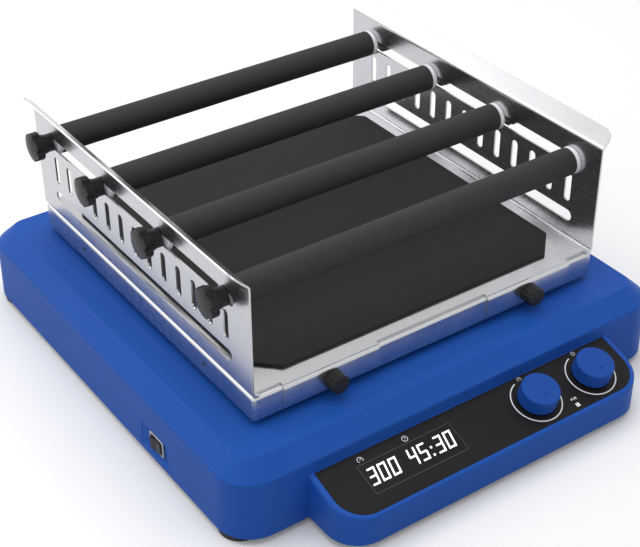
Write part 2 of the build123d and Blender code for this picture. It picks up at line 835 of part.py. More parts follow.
def main_bearing_block():
    """Turned block with a foot flange, four webs and a seat for a bearing at each end."""
    barrel_r = bearing_r + 7
    flange_r = barrel_r + 18
    body = extrude(Circle(flange_r), seat_foot_t) + extrude(Circle(barrel_r), block_h)
    webs = gussets(barrel_r, flange_r, seat_foot_t, block_h - 4, (45, 135, 225, 315))
    seat = Circle(bearing_r + run_gap)
    step = bearing_t + 1
    bore = extrude(Circle(bearing_r - 3), block_h) + extrude(seat, step)
    bore += Pos(0, 0, block_h - step) * extrude(seat, step)
    bolts = bolt_holes(barrel_r + 10, 4, seat_foot_t)
    return Pos(*drive_xy, frame_top) * (body + webs - bore - bolts)


def main_bearings():
    """Two deep-groove ball bearings, each as one ring."""
    ring = extrude(Circle(bearing_r) - Circle(shaft_r + run_gap), bearing_t)
    groove_t = 0.8
    groove = extrude(Circle(bearing_r - 3.5) - Circle(shaft_r + 3), groove_t)
    ring = ring - groove - Pos(0, 0, bearing_t - groove_t) * groove
    step = bearing_t + 1
    lower = Pos(*drive_xy, frame_top + 1) * ring
    upper = Pos(*drive_xy, frame_top + block_h - step) * ring
    return Compound(children=[lower, upper])


def drive_crank():
    """Shaft, web with its counterweight and eccentric pin in one casting."""
    shaft = rod(shaft_r, web_z - frame_top + 1, Pos(0, 0, frame_top - 1))
    boss = hull_web(shaft_r + 6, main_pin_r + 5, web_t)
    weight = Circle(weight_r) & Pos(0, -weight_r / 2 - 4) * Rectangle(weight_r * 2, weight_r)
    weight = extrude(weight, web_t)
    pin = rod(main_pin_r, pin_top - web_z, Pos(0, throw, web_z))
    return Pos(*drive_xy, 0) * (shaft + Pos(0, 0, web_z) * (boss + weight) + pin)


def hull_web(r_shaft, r_pin, thick):
    """Egg shaped web round the shaft and the eccentric pin."""
    around = Circle(r_shaft).edges() + (Pos(0, throw) * Circle(r_pin)).edges()
    return extrude(make_hull(around), thick)


def pulley(seat_r, bore_r, spokes):
    """Flat belt pulley with rims, on a hub, lightened by round holes."""
    rim_r = seat_r + belt_t + 1
    body = extrude(Circle(rim_r), pulley_h)
    groove = extrude(Circle(rim_r + 1) - Circle(seat_r), belt_w + 2 * seat_gap)
    body = body - Pos(0, 0, pulley_rim - seat_gap) * groove - extrude(Circle(bore_r), pulley_h)
    if spokes:
        hole_r = (seat_r - bore_r - 12) / 2
        spots = PolarLocations(bore_r + 6 + hole_r, spokes)
        body = body - [spot * extrude(Circle(hole_r), pulley_h) for spot in spots]
    return body


def driven_pulley():
    return Pos(*drive_xy, pulley_z) * pulley(driven_r, shaft_r + run_gap, 6)


def motor_pulley():
    """Small pulley on its motor shaft."""
    x, y = motor_xy
    wheel = Pos(0, 0, pulley_z) * pulley(motor_pulley_r, motor_shaft_r, 0)
    low = motor_bottom + motor_floor
    shaft = rod(motor_shaft_r, pulley_z + pulley_h + 2 - low, Pos(0, 0, low))
    return Pos(x, y, 0) * (wheel + shaft)


def drive_belt():
    """Endless flat belt round both pulleys."""
    def loop(extra):
        big = Pos(*drive_xy) * Circle(driven_r + extra)
        small = Pos(*motor_xy) * Circle(motor_pulley_r + extra)
        return make_hull(big.edges() + small.edges())

    band = loop(seat_gap + belt_t) - loop(seat_gap)
    return Pos(0, 0, pulley_z + pulley_rim) * extrude(band, belt_w)


def drive_motor():
    """Flat brushless motor, hung under its bracket, with a cooling groove round it."""
    x, y = motor_xy
    can = extrude(Circle(motor_r), motor_h)
    can = fillet(can.edges().filter_by(GeomType.CIRCLE), 1.5)
    groove = Pos(0, 0, motor_h / 2 - 1) * extrude(Circle(motor_r + 1) - Circle(motor_r - 1), 2)
    pilot = Pos(0, 0, motor_h) * extrude(Circle(motor_pilot_r), bracket_t)
    bore = extrude(Circle(motor_shaft_r + run_gap), motor_h + bracket_t)
    bore = Pos(0, 0, motor_floor - seat_gap) * bore
    return Pos(x, y, motor_bottom) * (can - groove + pilot - bore)


def motor_bracket():
    """Bridge of bent steel over the motor, with a foot each side on the frame."""
    reach = motor_r + 5
    toe = reach + 14
    with BuildLine(Plane.XZ) as path:
        Polyline(
            (-toe, deck),
            (-reach, deck),
            (-reach, bracket_z),
            (reach, bracket_z),
            (reach, deck),
            (toe, deck),
        )
    profile = make_face(offset(path.wire(), bracket_t, side=Side.RIGHT).edges())
    bridge = extrude(profile, bracket_w / 2, both=True)
    pilot = rod(motor_pilot_r + run_gap, 3 * bracket_t, Pos(0, 0, bracket_z - bracket_t))
    return Pos(*motor_xy, 0) * (bridge - pilot)


def power_supply():
    """Closed supply with a slotted cover beside the drive frame."""
    box = block(supply_w, supply_l, supply_h, Pos(supply_x, 0, deck))
    box = fillet(box.edges().filter_by(Axis.Z), 2)
    pitch = supply_l / 12
    rows = [
        slot_tool(supply_w - 16, vent_w, 2, Pos(supply_x, i * pitch, deck + supply_h)) for i in range(-4, 5)
    ]
    return box - rows


def guide_bearing(x, y):
    """Plain bearing bush in a flanged seat for one guide eccentric."""
    top = web_z - frame_top - 0.5
    barrel_r = journal_r + 11
    flange_r = barrel_r + 13
    body = extrude(Circle(flange_r), seat_foot_t) + extrude(Circle(barrel_r), top)
    webs = gussets(barrel_r, flange_r, seat_foot_t, top - 8, (60, 180, 300))
    bore = extrude(Circle(journal_r + run_gap), top)
    bolts = bolt_holes(barrel_r + 7, 3, seat_foot_t)
    return Pos(x, y - throw, frame_top) * (body + webs - bore - bolts)


def guide_crank(x, y):
    """Guide eccentric: journal, egg shaped web and pin."""
    journal = rod(journal_r, web_z - frame_top, Pos(0, 0, frame_top))
    web = Pos(0, 0, web_z) * hull_web(journal_r + 6, guide_pin_r + 5, web_t)
    pin = rod(guide_pin_r, pin_top - web_z, Pos(0, throw, web_z))
    return Pos(x, y - throw, 0) * (journal + web + pin)


# Writing every piece

def all_pieces():
    """Every named piece, drawn about the platform's centre line."""
    pieces = {
        "housing_shell": housing_shell(),
        "base_plate": base_plate(),
        "feet": feet(),
        "control_panel": control_panel(),
        "display_window": display_window(),
        "display_module": display_module(),
        "control_board": control_board(),
        "speed_encoder": encoder(knob_u[0]),
        "time_encoder": encoder(knob_u[1]),
        "speed_spindle": spindle(knob_u[0]),
        "time_spindle": spindle(knob_u[1]),
        "speed_knob": knob(knob_u[0]),
        "time_knob": knob(knob_u[1]),
        "status_led": status_led(),
        "switch_body": switch_body(),
        "rocker": rocker(),
        "power_inlet": power_inlet(),
        "drive_motor": drive_motor(),
        "motor_bracket": motor_bracket(),
        "power_supply": power_supply(),
        "drive_frame": drive_frame(),
        "main_bearing_block": main_bearing_block(),
        "main_bearings": main_bearings(),
        "drive_crank": drive_crank(),
        "driven_pulley": driven_pulley(),
        "motor_pulley": motor_pulley(),
        "drive_belt": drive_belt(),
        "tray": tray(),
        "centre_hub": centre_hub(),
        "guide_hubs": guide_hubs(),
        "carriage": carriage(),
        "rubber_mat": rubber_mat(),
        "tray_knob_left": tray_knob(-1),
        "tray_knob_right": tray_knob(1),
    }
    for i, (x, y) in enumerate(guide_xy, 1):
        pieces[f"guide_bearing_{i}"] = guide_bearing(x, y)
        pieces[f"guide_crank_{i}"] = guide_crank(x, y)
    core, foam, bushes = bar_rod(), bar_sleeve(), bar_bushes()
    right_knob = along_x(knob_in) * clamp_knob()
    left_knob = mirror(right_knob, Plane.YZ)
    for i, y in enumerate(bar_y, 1):
        place = Pos(0, y, bar_z)
        pieces[f"bar_rod_{i}"] = place * core
        pieces[f"bar_sleeve_{i}"] = place * foam
        pieces[f"bar_bushes_{i}"] = place * bushes
        pieces[f"clamp_knob_left_{i}"] = place * left_knob
        pieces[f"clamp_knob_right_{i}"] = place * right_knob
    return pieces


os.makedirs("parts", exist_ok=True)
for name, piece in all_pieces().items():
    export_step(Pos(0, platform_y, 0) * piece, f"parts/{name}.step")
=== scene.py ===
# %% [markdown]
# # An orbital shaker, from the metal outwards
# The machine itself comes from CAD: every plate, bar, knob and bearing is already a solid in
# metres. Blender is here for what a drawing can't give, which is the finish of each surface, the
# printed marks on the panel, the lit figures in the display, the screws, and the light.
# The lesson goes in that order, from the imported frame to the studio.

import json
import math

import bmesh
import bpy
from mathutils import Matrix, Vector


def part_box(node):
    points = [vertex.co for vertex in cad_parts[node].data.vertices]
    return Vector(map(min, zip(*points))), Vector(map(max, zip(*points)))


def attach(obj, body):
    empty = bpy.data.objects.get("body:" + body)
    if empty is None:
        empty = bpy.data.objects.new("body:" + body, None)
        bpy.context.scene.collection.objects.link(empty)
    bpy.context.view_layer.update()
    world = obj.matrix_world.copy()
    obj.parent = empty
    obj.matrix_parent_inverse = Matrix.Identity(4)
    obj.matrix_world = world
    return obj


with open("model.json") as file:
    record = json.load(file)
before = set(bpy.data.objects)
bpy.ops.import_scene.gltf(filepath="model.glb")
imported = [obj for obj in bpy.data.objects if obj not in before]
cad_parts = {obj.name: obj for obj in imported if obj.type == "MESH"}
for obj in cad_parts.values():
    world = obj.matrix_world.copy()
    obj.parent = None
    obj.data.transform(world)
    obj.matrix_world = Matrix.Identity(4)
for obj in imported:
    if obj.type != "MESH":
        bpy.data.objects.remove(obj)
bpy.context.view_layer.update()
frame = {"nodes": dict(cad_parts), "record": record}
mm = 0.001

# %% [markdown]
# A finish is a small network of nodes. Written node by node it is long and hard to read, so one
# class wraps a socket and lets Python's own signs add the Math nodes: `1 - mask` or `a * 0.2`
# then mean what they say.

# %% A value that does arithmetic
class Value:
    """One socket of a material's network, with arithmetic."""

    def __init__(self, finish, socket):
        self.finish = finish
        self.socket = socket

    def math(self, operation, *others):
        return self.finish.node("ShaderNodeMath", {"operation": operation}, [self, *others])

    def __add__(self, other):
        return self.math("ADD", other)

    def __mul__(self, other):
        return self.math("MULTIPLY", other)

    def __sub__(self, other):
        return self.math("SUBTRACT", other)

    def __rsub__(self, other):
        return self.finish.node("ShaderNodeMath", {"operation": "SUBTRACT"}, [other, self])

    def at_most(self, other):
        return self.math("MINIMUM", other)

    __radd__ = __add__
    __rmul__ = __mul__


print("arithmetic on sockets is ready")

# %% [markdown]
# A second class holds one material and makes every other node with a single method. It could be
# one helper for each kind of node, but then each new kind would need another. Settings go in
# before the links, because some of them change which sockets a node has.

# %% A finish and the one method that adds its nodes
class Finish:
    """A material under construction."""

    def __init__(self, name):
        self.material = bpy.data.materials.new(name)
        self.material.use_nodes = True
        self.tree = self.material.node_tree
        self.tree.nodes.clear()
        self.place = self.node("ShaderNodeTexCoord", output="Object")

    def node(self, kind, settings=None, inputs=(), output=0):
        made = self.tree.nodes.new(kind)
        for name, value in (settings or {}).items():
            setattr(made, name, value)
        pairs = inputs.items() if isinstance(inputs, dict) else enumerate(inputs)
        for key, value in pairs:
            if isinstance(value, Value):
                self.tree.links.new(value.socket, made.inputs[key])
            elif value is not None:
                made.inputs[key].default_value = value
        return Value(self, made.outputs[output]) if made.outputs else None

    def shade(self, inputs):
        """The Principled shader, joined to the output."""
        shader = self.node("ShaderNodeBsdfPrincipled", None, inputs)
        self.node("ShaderNodeOutputMaterial", None, {"Surface": shader})
        return self.material


print("a finish has one method for every node")

# %% [markdown]
# Nearly every finish here starts from the same three things: a noise of a known size in
# millimetres, a blend of two colours by a mask, and a bump. Real edges are never knife sharp, and
# the light that runs along them is what the eye reads as thickness. The CAD edges are sharp, so
# the bump starts from a Bevel node, which bends the normal round within a fraction of a
# millimetre of each edge.

# %% Noise by size, blends and bumps
def noise(finish, size, detail=2.0, stretch=None):
    """Noise with features of about `size` mm, drawn out along an axis by `stretch`."""
    place = finish.place
    if stretch:
        place = finish.node("ShaderNodeMapping", None, {"Vector": place, "Scale": stretch})
    inputs = {"Vector": place, "Scale": 1.0 / (size * mm), "Detail": detail, "Roughness": 0.5}
    return finish.node("ShaderNodeTexNoise", None, inputs)


def blend(finish, mask, low, high):
    """Colour between two, by a mask."""
    settings = {"data_type": "RGBA", "clamp_factor": True}
    return finish.node("ShaderNodeMix", settings, {0: mask, 6: low, 7: high}, output=2)


def between(finish, value, low, high, to_low=0.0, to_high=1.0):
    """The value stretched from one range to another, and held inside it."""
    return finish.node(
        "ShaderNodeMapRange",
        {"clamp": True},
        {"Value": value, "From Min": low, "From Max": high, "To Min": to_low, "To Max": to_high},
    )


def bump(finish, height, depth, edge=0.0):
    """Normal from a height, its depth in mm, with edges rounded by `edge` mm."""
    inputs = {"Height": height, "Distance": depth * mm, "Strength": 1.0}
    if edge:
        inputs["Normal"] = finish.node("ShaderNodeBevel", {"samples": 4}, {"Radius": edge * mm})
    return finish.node("ShaderNodeBump", None, inputs)


def rgb(r, g, b):
    """Colour from the numbers that a picture program shows."""
    def line(v):
        v /= 255
        return v / 12.92 if v <= 0.04045 else ((v + 0.055) / 1.055) ** 2.4
    return (line(r), line(g), line(b), 1.0)


print("a picture's 128 is", round(rgb(128, 0, 0)[0], 3), "in light")

# %% [markdown]
# The housing is a moulded shell with a satin powder coat. Powder coat flows as it melts, which
# leaves a faint orange peel about a millimetre across, and under it a finer grain that breaks up
# the gloss. Two noises of those sizes make the bump. The colour shifts by a few per cent over
# hand-sized areas, as any large coated part does.

# %% Blue powder coat, and the dyed plastic of the two knobs
def shaded(color, share):
    """The same colour, darker or lighter by a share."""
    return tuple(c * share for c in color[:3]) + (1.0,)


def coated(name, color, peel, gloss):
    """A satin coat, its orange peel `peel` mm deep."""
    finish = Finish(name)
    clouds = noise(finish, 90, 1.0)
    darker, lighter = shaded(color, 0.93), shaded(color, 1.07)
    grain = noise(finish, 0.25, 1.0)
    orange_peel = noise(finish, 1.1, 1.0)
    height = orange_peel * 0.7 + grain * 0.3
    return finish.shade({
        "Base Color": blend(finish, clouds, darker, lighter),
        "Roughness": between(finish, grain, 0.3, 0.7, gloss - 0.04, gloss + 0.05),
        "Specular IOR Level": 0.15,
        "Normal": bump(finish, height, peel, edge=0.5),
    })


made = {"blue_paint": coated("housing_powder_coat", rgb(30, 84, 174), 0.02, 0.5)}
made["knob_plastic"] = coated("knob_satin_plastic", rgb(24, 74, 160), 0.008, 0.45)
print("coats", sorted(made))

# %% [markdown]
# The carriage and the tray are polished stainless sheet. Polishing leaves fine lines along the
# sheet, far too fine to see one by one, but they draw every reflection out a little. A noise
# stretched along the sheet gives that: it changes the gloss, and a very small bump breaks the
# reflection's edges. The metal itself is almost without colour.

# %% Metals: polished, zinc plated, turned, cast and milled
def sheet_metal(name, color, gloss, line_size, stretch, depth, spread=0.06):
    """A metal with lines `line_size` mm apart that change its gloss by `spread` either way."""
    finish = Finish(name)
    lines = noise(finish, line_size, 2.0, stretch)
    clouds = noise(finish, 60, 2.0)
    wear = lines * 0.7 + clouds * 0.3
    return finish.shade({
        "Base Color": blend(finish, clouds, shaded(color, 0.92), color),
        "Metallic": 1.0,
        "Roughness": between(finish, wear, 0.3, 0.7, gloss - spread, gloss + spread),
        "Normal": bump(finish, lines, depth, edge=0.35),
    })


along_y = (1.0, 0.02, 1.0)
round_all = (1.0, 1.0, 1.0)
metals = {
    "polished_steel": ("polished_sheet", (0.6, 0.605, 0.62, 1), 0.25, 0.25, along_y, 0.0015),
    "zinc_steel": ("zinc_plate", rgb(190, 192, 190), 0.38, 4.0, round_all, 0.004, 0.1),
    "shaft_steel": ("turned_steel", rgb(178, 178, 180), 0.3, 0.3, round_all, 0.004),
    "bearing_steel": ("ground_steel", rgb(205, 205, 208), 0.15, 0.2, round_all, 0.001),
    "encoder_metal": ("nickel_can", rgb(200, 198, 190), 0.28, 1.5, round_all, 0.003),
    "switch_chrome": ("bright_bezel", rgb(150, 152, 158), 0.22, 0.3, round_all, 0.001),
    "frame_aluminium": ("milled_plate", rgb(196, 198, 200), 0.34, 0.5, along_y, 0.005),
    "supply_case": ("folded_case", rgb(200, 202, 204), 0.4, 2.0, round_all, 0.004),
    "hub_aluminium": ("die_casting", rgb(186, 188, 190), 0.5, 1.2, round_all, 0.03),
    "bronze": ("bearing_bronze", rgb(196, 150, 92), 0.36, 0.5, round_all, 0.004),
}
for slot_name, values in metals.items():
    made[slot_name] = sheet_metal(*values)
print("metals", len(metals))

# %% [markdown]
# Black plastic, rubber and foam differ in what light does at a shallow angle more than in colour.
# Moulded plastic has a spark eroded grain of about a quarter of a millimetre and a soft shine.
# Rubber is duller. Cast iron is the roughest, with a grain a millimetre across. One function with
# a colour, a gloss and a grain covers them all, and each row of the table is one of them.

# %% Plastics, rubbers, foam and castings
def moulded(name, color, gloss, grain_size, depth, edge=0.3, shine=0.5):
    """Plastic or rubber with a grain `grain_size` mm across and `depth` mm deep."""
    finish = Finish(name)
    grain = noise(finish, grain_size, 2.0)
    clouds = noise(finish, 25, 2.0)
    return finish.shade({
        "Base Color": blend(finish, clouds * 0.6 + grain * 0.4, shaded(color, 0.85), color),
        "Roughness": between(finish, grain, 0.3, 0.7, gloss - 0.06, gloss + 0.06),
        "Specular IOR Level": shine,
        "Normal": bump(finish, grain, depth, edge=edge),
    })


plastics = {
    "black_plastic": ("star_knob_plastic", rgb(22, 22, 24), 0.4, 0.3, 0.012, 0.3, 0.35),
    "panel_film": ("panel_overlay", rgb(26, 25, 27), 0.45, 0.15, 0.003, 0.2, 0.15),
    "module_plastic": ("display_case", rgb(60, 60, 60), 0.5, 0.4, 0.01),
    "inlet_plastic": ("inlet_moulding", rgb(26, 26, 27), 0.42, 0.3, 0.01),
    "foot_rubber": ("foot_rubber_finish", rgb(28, 28, 28), 0.7, 0.4, 0.02),
    "mat_rubber": ("mat_rubber_finish", rgb(28, 28, 30), 0.62, 0.5, 0.02, 0.4, 0.3),
    "belt_rubber": ("belt_rubber_finish", rgb(26, 26, 27), 0.6, 0.5, 0.02),
    "motor_steel": ("motor_enamel", rgb(34, 34, 36), 0.4, 0.8, 0.01),
    "cast_iron": ("grey_casting", rgb(70, 70, 72), 0.6, 1.0, 0.06),
    "nylon": ("white_nylon", rgb(246, 247, 250), 0.4, 0.6, 0.004, 0.4),
    "led_clear": ("light_guide", rgb(245, 245, 245), 0.35, 0.4, 0.002),
}
for slot_name, values in plastics.items():
    made[slot_name] = moulded(*values)
print("plastics and rubbers", len(plastics))

# %% [markdown]
# The sleeves on the bars are extruded foam, which scatters light so widely that it hardly shows a
# highlight. Its cells show as a fine mottle of lighter walls and darker pits, and the dark in the
# pits is painted shade. A Voronoi pattern gives cells directly: its distance is low in the middle
# of each cell and high at the walls, so the same value sinks the pits in the bump and darkens them
# in the colour as painted shade. A larger noise mixed in shifts the tone at random.

# %% Foam sleeves
def cell_pattern(finish, feature, size):
    """A Voronoi pattern with cells of about `size` mm."""
    inputs = {"Vector": finish.place, "Scale": 1.0 / (size * mm)}
    return finish.node("ShaderNodeTexVoronoi", {"feature": feature}, inputs, output="Distance")


foam_cell = 0.7


def foam_sleeve():
    finish = Finish("foam_sleeve_finish")
    cells = cell_pattern(finish, "F1", foam_cell)
    clouds = noise(finish, 12, 3.0)
    # The mask is low in the pits of the cells, so the darker colour there is painted shade; the
    # clouds add random tone.
    mask = between(finish, cells * 0.7 + clouds * 0.3, 0.15, 0.75)
    return finish.shade({
        "Base Color": blend(finish, mask, rgb(30, 30, 32), rgb(48, 48, 50)),
        "Roughness": 0.66 + mask * 0.1,
        "Specular IOR Level": 0.4,
        "Normal": bump(finish, cells, 0.03, edge=0.5),
    })


made["foam"] = foam_sleeve()
print("foam cells", foam_cell, "mm")

# %% [markdown]
# The window is smoked acrylic, and the board behind it is green laminate. The window is almost
# black, so a little unevenness in its gloss is all that tells it from a hole. The laminate takes
# its tracks from the borders between the cells of the same pattern as the foam.

# %% Window and circuit board
def smoked_window():
    finish = Finish("smoked_window")
    wipe = noise(finish, 14, 3.0)
    return finish.shade({
        "Base Color": blend(finish, wipe, rgb(16, 16, 18), rgb(22, 22, 24)),
        "Roughness": between(finish, wipe, 0.3, 0.7, 0.25, 0.35),
        "Specular IOR Level": 0.15,
        "Normal": bump(finish, wipe, 0.002, edge=0.15),
    })


def green_laminate():
    finish = Finish("board_laminate")
    mask = between(finish, cell_pattern(finish, "DISTANCE_TO_EDGE", 2.2), 0.05, 0.09)
    return finish.shade({
        "Base Color": blend(finish, mask, rgb(52, 120, 70), rgb(20, 78, 40)),
        "Roughness": 0.3 + mask * 0.15,
        "Normal": bump(finish, mask, 0.03, edge=0.2),
    })


made["lens"] = smoked_window()
made["circuit_board"] = green_laminate()
print("finishes", len(made))

# %% [markdown]
# The record says which material each CAD piece is made of, by the name of a slot. The finishes
# were kept under those names, so one loop dresses the whole machine, and a new piece in the CAD
# needs no line here.

# %% Give every CAD node the finish of its slot
slot_of = {part["node"]: part["material_slot"] for part in frame["record"]["subparts"]}
for node_name, slot_name in slot_of.items():
    materials = frame["nodes"][node_name].data.materials
    materials.clear()
    materials.append(made[slot_name])
print("nodes finished", len(slot_of))

# %% [markdown]
# Everything printed on the console lies on one sloping plane. It is drawn flat in millimetres,
# with `u` across and `s` down the slope from the panel's upper edge, as a printer would, then
# given a film's thickness and laid on the panel by a single matrix.

# %% The panel's plane
panel_tilt = math.radians(16.6)
panel_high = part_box("control_panel")[1]
panel_up = Vector((0, math.cos(panel_tilt), math.sin(panel_tilt)))
panel_out = Vector((0, -math.sin(panel_tilt), math.cos(panel_tilt)))
film = 1.5 * mm
panel_edge = Vector((0, panel_high.y - film * math.sin(panel_tilt), panel_high.z))


def lay_on_panel(shape, lift):
    """Moves a flat drawing in mm onto the panel, `lift` mm above its face."""
    columns = (Vector((1, 0, 0)), panel_up, panel_out)
    turn = Matrix([[c[i] for c in columns] for i in range(3)]).to_4x4()
    place = Matrix.Translation(panel_edge + panel_out * lift * mm)
    bmesh.ops.transform(shape, matrix=place @ turn @ Matrix.Scale(mm, 4), verts=shape.verts)


print("panel edge in mm", [round(v / mm, 2) for v in panel_edge])

# %% [markdown]
# Three tools draw everything on the panel. A bar is a scaled grid of one face with its corners
# bevelled, a ring is a short edge spun round a centre, and a wedge is a circle of three sides.
# A text object could give the figures, but it would need a font, and these have only bars.

# %% Small tools for flat drawings
def bar(shape, u, s, width, height, round_by=0.0):
    """A bar, its corners rounded if asked."""
    before = set(shape.verts)
    drawn = bmesh.ops.create_grid(shape, x_segments=1, y_segments=1, size=0.5)["verts"]
    bmesh.ops.scale(shape, vec=(width, height, 1), verts=drawn)
    if round_by:
        bmesh.ops.bevel(
            shape, geom=drawn, offset=round_by, offset_type="OFFSET", affect="VERTICES",
            segments=3, profile=0.5, material=-1,
        )
    drawn = [v for v in shape.verts if v not in before]
    bmesh.ops.translate(shape, vec=(u, -s, 0), verts=drawn)
    return drawn


def ring(shape, u, s, radius, stroke, start=0.0, sweep=360.0):
    """A band round a centre, from an angle, anticlockwise."""
    before = set(shape.verts)
    turn = math.radians(start)
    ends = [radius - stroke / 2, radius + stroke / 2]
    verts = [shape.verts.new((r * math.cos(turn), r * math.sin(turn), 0)) for r in ends]
    edge = shape.edges.new(verts)
    bmesh.ops.spin(
        shape, geom=[*verts, edge], cent=(0, 0, 0), axis=(0, 0, 1), angle=math.radians(sweep),
        steps=max(12, int(sweep / 5)), use_merge=sweep >= 360,
    )
    band = [v for v in shape.verts if v not in before]
    bmesh.ops.translate(shape, vec=(u, -s, 0), verts=band)


def wedge(shape, u, s, size):
    """A triangle, for the start mark."""
    verts = bmesh.ops.create_circle(shape, cap_ends=True, radius=size, segments=3)["verts"]
    bmesh.ops.translate(shape, vec=(u, -s, 0), verts=verts)


print("bar, ring and wedge are ready")

# %% [markdown]
# The figures are made of up to seven bars and lean to the right. Each one is a few rounded bars on
# a grid, sheared by the lean. They are lit, so their shader gives off a little light of its own
# and needs no lamp. The values shown are only plain numbers for a speed and a time.

# %% Lit figures in the window
bars_of = {"0": "abcdef", "3": "abcdg", "4": "bcfg", "5": "acdfg"}
figure_w, figure_h, stroke, lean = 7.2, 14.6, 1.6, math.tan(math.radians(12.0))
middle, top = figure_h / 2, figure_h
bar_places = {
    "a": (figure_w / 2, top - stroke / 2, True),
    "b": (figure_w - stroke / 2, 0.75 * top, False),
    "c": (figure_w - stroke / 2, 0.25 * top, False),
    "d": (figure_w / 2, stroke / 2, True),
    "e": (stroke / 2, 0.25 * top, False),
    "f": (stroke / 2, 0.75 * top, False),
    "g": (figure_w / 2, middle, True),
}
base_line = 29.5
colon_s, colon_u, colon_size = (21.6, 28.2), -53.9, 1.9
digit_u = (-110.0, -100.5, -90.8, -73.5, -63.9, -49.1, -39.4)


def slanted(shape, verts, u):
    """Leans a drawing from its foot and sets it on the figures' base line."""
    shear = Matrix(((1, lean, 0, u), (0, 1, 0, -base_line), (0, 0, 1, 0), (0, 0, 0, 1)))
    bmesh.ops.transform(shape, matrix=shear, verts=verts)


def figure(shape, digit, u):
    for letter in bars_of[digit]:
        x, y, level = bar_places[letter]
        long = figure_w - stroke * 0.6 if level else middle + stroke * 0.2
        size = (long, stroke) if level else (stroke, long)
        slanted(shape, bar(shape, x, -y, *size, round_by=stroke * 0.42), u)


lit = bmesh.new()
for digit, u in zip("3004530", digit_u):
    figure(lit, digit, u)
for s in colon_s:
    dot = bar(lit, 1.0, s - base_line, colon_size, colon_size, round_by=0.5)
    slanted(lit, dot, colon_u)
print("figures drawn with", len(lit.faces), "bars")

# %% [markdown]
# A print is so thin that it has no edge to see, but it still needs a body, or it would flicker
# against the surface it lies on. Each drawing is pushed up by a few hundredths of a millimetre
# and joins its body in the frame, so it moves with the console.

# %% From a drawing to a piece on its body
def placed(shape, name, material):
    """Turns a finished mesh, in metres and in place, into an object of one finish."""
    mesh = bpy.data.meshes.new(name)
    shape.to_mesh(mesh)
    shape.free()
    mesh.materials.append(material)
    piece = bpy.data.objects.new(name, mesh)
    bpy.context.scene.collection.objects.link(piece)
    return piece


def to_piece(shape, name, body, material):
    """Turns a finished mesh into a piece that rides on a body."""
    bmesh.ops.recalc_face_normals(shape, faces=shape.faces)
    piece = placed(shape, name, material)
    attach(piece, body)
    print(name, "faces", len(piece.data.polygons))


def pushed(shape, faces, by):
    """Extrudes faces along Z."""
    geometry = bmesh.ops.extrude_face_region(shape, geom=faces)["geom"]
    verts = [v for v in geometry if isinstance(v, bmesh.types.BMVert)]
    bmesh.ops.translate(shape, vec=(0, 0, by), verts=verts)


def print_on_panel(shape, name, material, lift=0.01, thick=0.04):
    pushed(shape, shape.faces[:], thick)
    lay_on_panel(shape, lift)
    to_piece(shape, name, "base", material)


def lit_segments():
    finish = Finish("lit_segments")
    patch = noise(finish, 3, 1.0)
    return finish.shade({
        "Base Color": blend(finish, patch, rgb(225, 228, 232), rgb(240, 240, 242)),
        "Roughness": 0.5,
        "Emission Color": blend(finish, patch, rgb(228, 232, 238), rgb(245, 246, 248)),
        "Emission Strength": 0.75,
    })


print_on_panel(lit, "display_figures", lit_segments())

# %% [markdown]
# The printed marks are light grey ink: an open ring round each knob, and small plain signs. A
# gauge needle stands for speed, a clock for time, and a triangle with two bars for start and
# stop. Signs are only bars, rings and a wedge again, so each is a short function of its size.

# %% Signs
def gauge(shape, u, s, size):
    """Sign for speed: three quarters of a ring with a needle."""
    ring(shape, u, s, size, size * 0.24, start=-45, sweep=270)
    verts = bar(shape, 0, 0, size * 0.22, size * 1.1, round_by=size * 0.08)
    turn = Matrix.Translation((u, -s, 0)) @ Matrix.Rotation(math.radians(-40), 4, "Z")
    bmesh.ops.transform(shape, matrix=turn @ Matrix.Translation((0, size * 0.35, 0)), verts=verts)


def clock(shape, u, s, size):
    """Sign for time: a ring with two hands."""
    ring(shape, u, s, size, size * 0.22)
    bar(shape, u, s - size * 0.28, size * 0.2, size * 0.62)
    bar(shape, u + size * 0.2, s, size * 0.5, size * 0.2)


speed_u, speed_s, time_u, time_s = 50.7, 24.4, 107.6, 24.6
arc_r, arc_stroke = 20.6, 1.0
over_window_s, over_knob_s, under_knob_s = 6.0, 2.6, 37.6
marks = bmesh.new()
for u, s in ((speed_u, speed_s), (time_u, time_s)):
    ring(marks, u, s, arc_r, arc_stroke, start=108, sweep=324)
gauge(marks, -105.5, over_window_s, 2.3)
clock(marks, -64.5, over_window_s, 2.3)
gauge(marks, speed_u, over_knob_s, 1.7)
clock(marks, time_u, over_knob_s, 1.7)
wedge(marks, 76.2, under_knob_s, 1.3)
for u in (78.6, 80.3):
    bar(marks, u, under_knob_s, 0.8, 2.3)
print("signs drawn with", len(marks.faces), "faces")

# %% [markdown]
# Screen printed ink lies on the film like a very thin coat, and the screen leaves a weave in it.
# The weave changes the ink's tone and gloss a little. The same function gives the light ink of
# the signs and the dark ink of the hairline that frames the window.

# %% Inks, and the hairline round the window
def ink(name, weave_size, low, high, gloss, dull):
    finish = Finish(name)
    weave = noise(finish, weave_size, 1.0)
    return finish.shade({
        "Base Color": blend(finish, weave, low, high),
        "Roughness": between(finish, weave, 0.3, 0.7, gloss, dull),
        "Normal": bump(finish, weave, 0.004),
    })


light_ink = ink("panel_ink", 0.2, rgb(226, 227, 229), rgb(242, 243, 244), 0.45, 0.6)
print_on_panel(marks, "panel_marks", light_ink)
dark_ink = ink("window_frame_ink", 0.3, rgb(64, 64, 68), rgb(84, 84, 88), 0.4, 0.5)
hairline = 0.35
left, right, top_s, foot_s = -111.3, -25.8, 9.9, 35.9
line = bmesh.new()
for s in (top_s, foot_s):
    bar(line, (left + right) / 2, s, right - left, hairline)
for u in (left, right):
    bar(line, u, (top_s + foot_s) / 2, hairline, foot_s - top_s)
print_on_panel(line, "window_frame", dark_ink, lift=0.012, thick=0.03)

